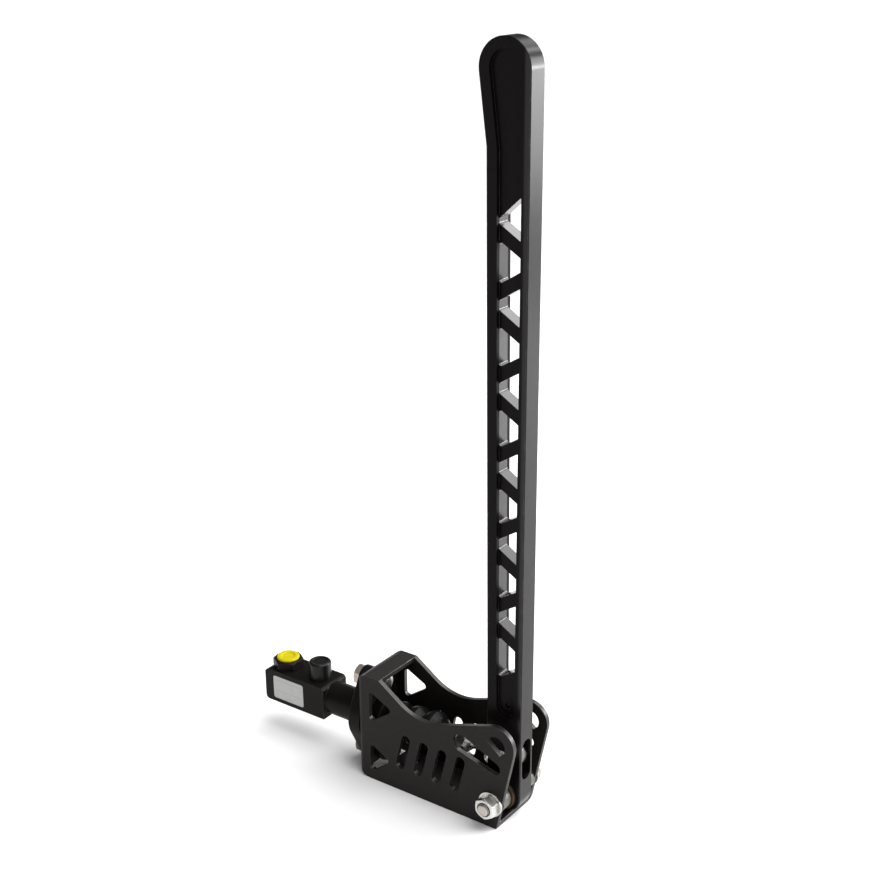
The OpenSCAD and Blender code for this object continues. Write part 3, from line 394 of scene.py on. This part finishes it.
cylinder_dark, cylinder_light = (0.0035, 0.0027, 0.0023), (0.0075, 0.006, 0.0053)
cylinder_rubbed = (0.24, 0.23, 0.22)
cylinder_black, place = new_finish("anodised_cylinder")
haze = grain(place, 30, 4)
turning = grain(place, 1500, 3, (1.0, 0.06, 0.06))
matt = grain(place, 4800, 2)
turned = soft_edge(place, 0.0005)
worn = edge_mask(turned) * (0.15 + ramp(grain(place, 150, 5), 0.48, 0.72) * 0.5)
set_finish(cylinder_black, {
    "Base Color": tint(worn, tint(haze, cylinder_dark, cylinder_light), cylinder_rubbed),
    "Metallic": worn * 0.8,
    "Roughness": 0.3 + turning * 0.12 + haze * 0.06,
    "Specular IOR Level": 0.08,
    "Normal": relief(turning * 0.6 + matt * 0.4, depth=0.00004, strength=0.3, under=turned),
})
coat_node("cylinder_body", cylinder_black)


# Flange fixings
# Two plated bolts go through the flange and the end plate into washers and nuts inside the bracket.
# Their outer heads have a warm passivation; the nuts and washers are plain zinc. Low down, bolts,
# nuts and washers are all painted near black, as painted shade inside the bracket.

flange_inside = -0.107
# Below this height the fixings are painted near black, as painted shade.
shade_top = 0.023
tail_chamfer = 0.0002
tail_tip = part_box("flange_bolts")[1].x
nuts_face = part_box("flange_nuts")[1].x
blushed_zinc = (0.5, 0.46, 0.43)
tail_zinc = (0.16, 0.16, 0.155)
clean_zinc = (0.6, 0.6, 0.585)
passivated = zinc_finish("warm_passivated", blushed_zinc, dull=0.3,
                         threads=[("X", thread_pitch, nuts_face, tail_tip - tail_chamfer)],
                         blush=(1.0, 0.9, 0.84), tail=("X", flange_inside, tail_zinc), shade_below=shade_top)
nut_zinc = zinc_finish("nut_zinc", clean_zinc, dull=0.18, shade_below=shade_top)
coat_node("flange_bolts", passivated)
coat_node("flange_washers", nut_zinc)
coat_node("flange_nuts", nut_zinc)


# Outlet
# A hexagonal port adapter is screwed into the block, and a soft yellow plug closes it for shipping.
# The plug is moulded, with a fine grain and a little grime.

coat_node("outlet_adapter", cylinder_black)
yellow_deep, yellow_bright = (0.45, 0.385, 0.001), (0.52, 0.445, 0.0016)
yellow_grime = (0.28, 0.22, 0.005)
yellow, place = new_finish("yellow_plug")
flow = grain(place, 110, 3)
skin = grain(place, 3800, 2)
grime = ramp(grain(place, 260, 5), 0.58, 0.75)
set_finish(yellow, {
    "Base Color": tint(grime * 0.3, tint(flow, yellow_deep, yellow_bright), yellow_grime),
    "Roughness": 0.46 + skin * 0.14,
    "Specular IOR Level": 0.16,
    "Normal": relief(skin, depth=0.00003, strength=0.4, under=soft_edge(place, 0.0006)),
})
coat_node("outlet_plug", yellow)


# Inlet
# A plated hose nipple is screwed into the block under a push-on cap.
# The cap is soft black plastic with a satin moulded skin.

coat_node("inlet_nipple", zinc)
cap_dark, cap_light = (0.0035, 0.0035, 0.0035), (0.008, 0.0078, 0.0075)
cap_black, place = new_finish("black_cap")
sheen = grain(place, 80, 4)
pebble = grain(place, 3000, 2)
set_finish(cap_black, {
    "Base Color": tint(sheen, cap_dark, cap_light),
    "Roughness": 0.2 + sheen * 0.1 + pebble * 0.05,
    "Specular IOR Level": 0.22,
    "Normal": relief(pebble, depth=0.00004, strength=0.3, under=soft_edge(place, 0.0008)),
})
coat_node("inlet_cap", cap_black)


# Label
# A film label with two faint rules is stuck on the block's side.
# The film is satin and a little smudged, and its rim is grey from handling.

rule_shares = (0.36, 0.82)
rule_w, rule_inset = 0.00035, 0.0025
film_dull, film_white = (0.385, 0.39, 0.385), (0.45, 0.455, 0.447)
smudge_grey, rim_grey, rule_grey = (0.3, 0.29, 0.28), (0.2, 0.19, 0.17), (0.16, 0.16, 0.16)
label_low, label_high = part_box("block_label")
label_film, place = new_finish("label_film")
along, upward = part_of(place, "X"), part_of(place, "Z")
rule = along * 0
for share in rule_shares:
    height = label_low.z + (label_high.z - label_low.z) * share
    rule = rule + (upward > height) * (upward < height + rule_w)
rule = rule * (along > label_low.x + rule_inset) * (along < label_high.x - rule_inset)
fibre = grain(place, 1600, 3)
smudge = ramp(grain(place, 190, 5), 0.56, 0.76)
film = tint(smudge * 0.3, tint(grain(place, 60, 4), film_dull, film_white), smudge_grey)
film = tint(edge_mask(soft_edge(place, 0.0003)) * 0.4, film, rim_grey)
set_finish(label_film, {
    "Base Color": tint(rule * 0.5, film, rule_grey),
    "Roughness": 0.36 + fibre * 0.12,
    "Normal": relief(fibre, depth=0.00002, strength=0.3),
})
coat_node("block_label", label_film)


# Piston and seals
# The piston is turned aluminium with a lip seal in a groove at each end, inside the bore.
# A stop washer and a circlip keep the pushrod's collar in the cylinder's mouth.

aluminium_dark, aluminium_light = (0.56, 0.56, 0.57), (0.68, 0.68, 0.69)
bare_aluminium, place = new_finish("turned_aluminium")
lathe = grain(place, 2200, 3, (1.0, 0.05, 0.05))
set_finish(bare_aluminium, {
    "Base Color": tint(grain(place, 60, 4), aluminium_dark, aluminium_light),
    "Metallic": 1.0,
    "Roughness": 0.22 + lathe * 0.18,
    "Normal": relief(lathe, depth=0.00002, strength=0.35),
})
coat_node("piston", bare_aluminium)

rubber_dark, rubber_light = (0.0025, 0.0025, 0.0025), (0.006, 0.0059, 0.0057)
rubber_dust = (0.016, 0.0155, 0.015)
rubber, place = new_finish("black_rubber")
bloom = grain(place, 45, 5)
dust = ramp(grain(place, 220, 5), 0.55, 0.78)
crumb = grain(place, 3600, 3)
set_finish(rubber, {
    "Base Color": tint(dust * 0.5, tint(bloom, rubber_dark, rubber_light), rubber_dust),
    "Roughness": 0.24 + bloom * 0.12,
    "Specular IOR Level": 0.12,
    "Normal": relief(crumb, depth=0.00005, strength=0.4),
})
for seal in ("primary_seal", "secondary_seal"):
    coat_node(seal, rubber)
for keeper in ("stop_washer", "circlip"):
    coat_node(keeper, steel)


# Return spring
# Round spring wire, wound in open turns between the end of the bore and the piston.

wire_r, wire_sides = 0.00072, 10
coil_r, coil_turns, turn_steps = 0.00546, 5, 24
spring_low, spring_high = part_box("return_spring")
coil_run = spring_high.x - spring_low.x - 2 * wire_r
bpy.ops.object.select_all(action="DESELECT")
bpy.ops.mesh.primitive_circle_add(vertices=wire_sides, radius=wire_r, fill_type="NOTHING",
                                  location=(0, coil_r, 0), rotation=(0, math.pi / 2, 0))
spring = bpy.context.object
spring.name = "return_coil"
bpy.ops.object.transform_apply(location=True, rotation=True, scale=True)
bpy.ops.object.mode_set(mode="EDIT")
bpy.ops.mesh.select_all(action="SELECT")
bpy.ops.transform.rotate(value=math.pi / 2, orient_axis="Z", center_override=(0, coil_r, 0))
bpy.ops.object.mode_set(mode="OBJECT")
winding = spring.modifiers.new("winding", "SCREW")
winding.axis = "X"
winding.angle = 2 * math.pi * coil_turns
winding.screw_offset = coil_run
winding.steps = winding.render_steps = turn_steps * coil_turns
winding.use_merge_vertices = False
bpy.ops.object.modifier_apply(modifier="winding")
bpy.ops.object.mode_set(mode="EDIT")
bpy.ops.mesh.select_all(action="DESELECT")
bpy.ops.mesh.select_non_manifold()
bpy.ops.mesh.edge_face_add()
bpy.ops.mesh.select_all(action="SELECT")
bpy.ops.mesh.normals_make_consistent(inside=False)
bpy.ops.transform.translate(value=(spring_low.x + wire_r, 0, (spring_low.z + spring_high.z) / 2))
bpy.ops.object.mode_set(mode="OBJECT")
bpy.ops.object.shade_smooth_by_angle(angle=math.radians(60))
spring.data.materials.append(steel)
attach(spring, "base")
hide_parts("return_spring")
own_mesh(spring)


# Pushrod
# A plated rod with a ball end in the piston, screwed into a rod end and locked by a jam nut.
# The rod end turns on a bearing ball on the cross pin, which a spring clip keeps in the lever.

eye_start = -0.009
rod_zinc = zinc_finish("rod_zinc", bright_zinc, dull=0.2, tail=("X", eye_start, grey_zinc))
for plated in ("pushrod", "jam_nut", "cross_pin"):
    coat_node(plated, zinc)
coat_node("rod_end", rod_zinc)
coat_node("rod_end_ball", steel)
coat_node("cross_pin_clip", steel)


# Rubber boot
# A moulded boot with three soft folds, stretched over the spigot and gripping the pushrod.
# It keeps dirt out of the cylinder.

boot_start = Vector((-0.097, 0, 0.036))
boot_end = Vector((-0.0437, 0, 0.04101))
boot_wall = 0.001
boot_sides = 72
boot_run = boot_end - boot_start
boot_l = boot_run.length
folds, fold_steps = 3, 20
fold_from, fold_to = 0.00263, boot_l - 0.0085
valley_r, fold_h, fold_round = 0.0088, 0.0044, 0.4
lip_h, lip_at, lip_w = 0.0005, 0.68, 0.06
spigot_cuff = [(-0.0048, 0.0139), (-0.0050, 0.0143), (-0.0046, 0.0147),
               (0.0016, 0.0147), (0.0022, 0.0143)]
rod_cuff = [(fold_to + 0.0003, 0.0078), (fold_to + 0.0007, 0.0054), (boot_l - 0.0006, 0.0052),
            (boot_l, 0.0049), (boot_l, 0.0043)]
boot_rings = list(spigot_cuff)
for i in range(folds * fold_steps + 1):
    u = i / fold_steps
    hill = (1 - math.cos(2 * math.pi * u)) / 2
    lip = math.exp(-((u % 1 - lip_at) / lip_w) ** 2)
    along_boot = fold_from + (fold_to - fold_from) * u / folds
    boot_rings.append((along_boot, valley_r + fold_h * hill ** fold_round + lip_h * lip))
boot_rings += rod_cuff
bpy.ops.object.select_all(action="DESELECT")
bpy.ops.mesh.primitive_circle_add(vertices=boot_sides, radius=boot_rings[0][1], fill_type="NOTHING",
                                  location=(0, 0, boot_rings[0][0]))
boot = bpy.context.object
boot.name = "bellows_boot"
bpy.ops.object.transform_apply(location=True, rotation=True, scale=True)
bpy.ops.object.mode_set(mode="EDIT")
bpy.ops.mesh.select_all(action="SELECT")
for (low, small), (high, large) in zip(boot_rings, boot_rings[1:]):
    next_ring((0, 0, high - low), (large / small, large / small, 1), (0, 0, high))
bpy.ops.mesh.select_all(action="SELECT")
bpy.ops.mesh.normals_make_consistent(inside=False)
bpy.ops.object.mode_set(mode="OBJECT")
lean = math.atan2(boot_run.x, boot_run.z)
boot.data.transform(Matrix.Translation(boot_start) @ Matrix.Rotation(lean, 4, "Y"))
wall = boot.modifiers.new("wall", "SOLIDIFY")
wall.thickness = boot_wall
wall.offset = -1
bpy.ops.object.modifier_apply(modifier="wall")
bpy.ops.object.shade_smooth_by_angle(angle=math.radians(50))
boot.data.materials.append(rubber)
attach(boot, "base")
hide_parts("rubber_boot")
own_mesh(boot)


# Floor, light and camera
# A plain white sweep under one broad soft light from above on the right. A low box and a narrow strip
# behind on the right are mirrored in the lever's front edge, and a high box behind lights the rims.
# The air is pale low down all round, and above that it darkens towards the near left.

floor_w, floor_drop = 60, 0.0002
bpy.ops.object.select_all(action="DESELECT")
bpy.ops.mesh.primitive_plane_add(size=floor_w, location=(0, 0, -floor_drop))
floor = bpy.context.object
floor.name = "studio_floor"
paper_dull, paper_white = (0.86, 0.86, 0.86), (0.88, 0.88, 0.88)
paper, place = new_finish("floor_paper")
set_finish(paper, {
    "Base Color": tint(grain(place, 3, 3), paper_dull, paper_white),
    "Roughness": 0.9,
    "Specular IOR Level": 0.1,
})
floor.data.materials.append(paper)


def hang_lamp(lamp, way):
    """Puts a lamp in the scene, shining one way."""
    hung = bpy.data.objects.new(lamp.name, lamp)
    bpy.context.scene.collection.objects.link(hung)
    hung.rotation_euler = Vector(way).to_track_quat("-Z", "Y").to_euler()
    return hung


def soft_box(name, centre, aim, width, height, radiance):
    """A rectangular lamp at a centre, aimed at a point."""
    lamp = bpy.data.lights.new(name, "AREA")
    lamp.shape = "RECTANGLE"
    lamp.size = width
    lamp.size_y = height
    lamp.energy = radiance * math.pi * width * height
    hang_lamp(lamp, Vector(aim) - Vector(centre)).location = centre


soft_box("low_box", centre=(0.8, 1.0, 0.5), aim=(0, 0, 0.2), width=0.8, height=0.7, radiance=6.5)
soft_box("strip_box", centre=(0.82, 0.98, 0.44), aim=(0, 0, 0.46), width=0.8, height=0.05, radiance=40.0)
soft_box("back_box", centre=(0.07, 0.91, 1.07), aim=(0, 0, 0.3), width=0.6, height=0.4, radiance=5.0)
sky = bpy.data.lights.new("sky_light", "SUN")
sky.energy = 2.8
sky.angle = math.radians(50)
hang_lamp(sky, (-0.45, -0.1, -1))

dark_air, bright_air, pale_wall = (0.05, 0.05, 0.05), (0.85, 0.85, 0.85), (1.05, 1.05, 1.05)
world = bpy.data.worlds.new("studio_air")
bpy.context.scene.world = world
world.use_nodes = True
toward = Wire(world.node_tree).add("ShaderNodeTexCoord", out="Generated")
up = part_of(toward, "Z")
glow = ramp(part_of(toward, "X") * 0.8 + part_of(toward, "Y") * 0.1 + up * 0.7, -0.35, 1.0)
far_wall = ramp(up, 0.2, 0.1)
air_colour = tint(far_wall, tint(glow, dark_air, bright_air), pale_wall)
backing = world.node_tree.nodes["Background"]
world.node_tree.links.new(air_colour.socket, backing.inputs["Color"])

eye = (0.43167, -0.66627, 0.54826)
pan, dip, roll = (math.radians(a) for a in (35.77, 20.45, -0.45))
lens = bpy.data.cameras.new("camera")
lens.sensor_width = 36
lens.lens = 58.43
lens.clip_start = 0.01
camera = bpy.data.objects.new("camera", lens)
bpy.context.scene.collection.objects.link(camera)
camera.matrix_world = (Matrix.Translation(eye) @ Matrix.Rotation(pan, 4, "Z")
                       @ Matrix.Rotation(math.pi / 2 - dip, 4, "X") @ Matrix.Rotation(roll, 4, "Z"))
bpy.context.scene.camera = camera
bpy.context.scene.view_settings.view_transform = "Standard"
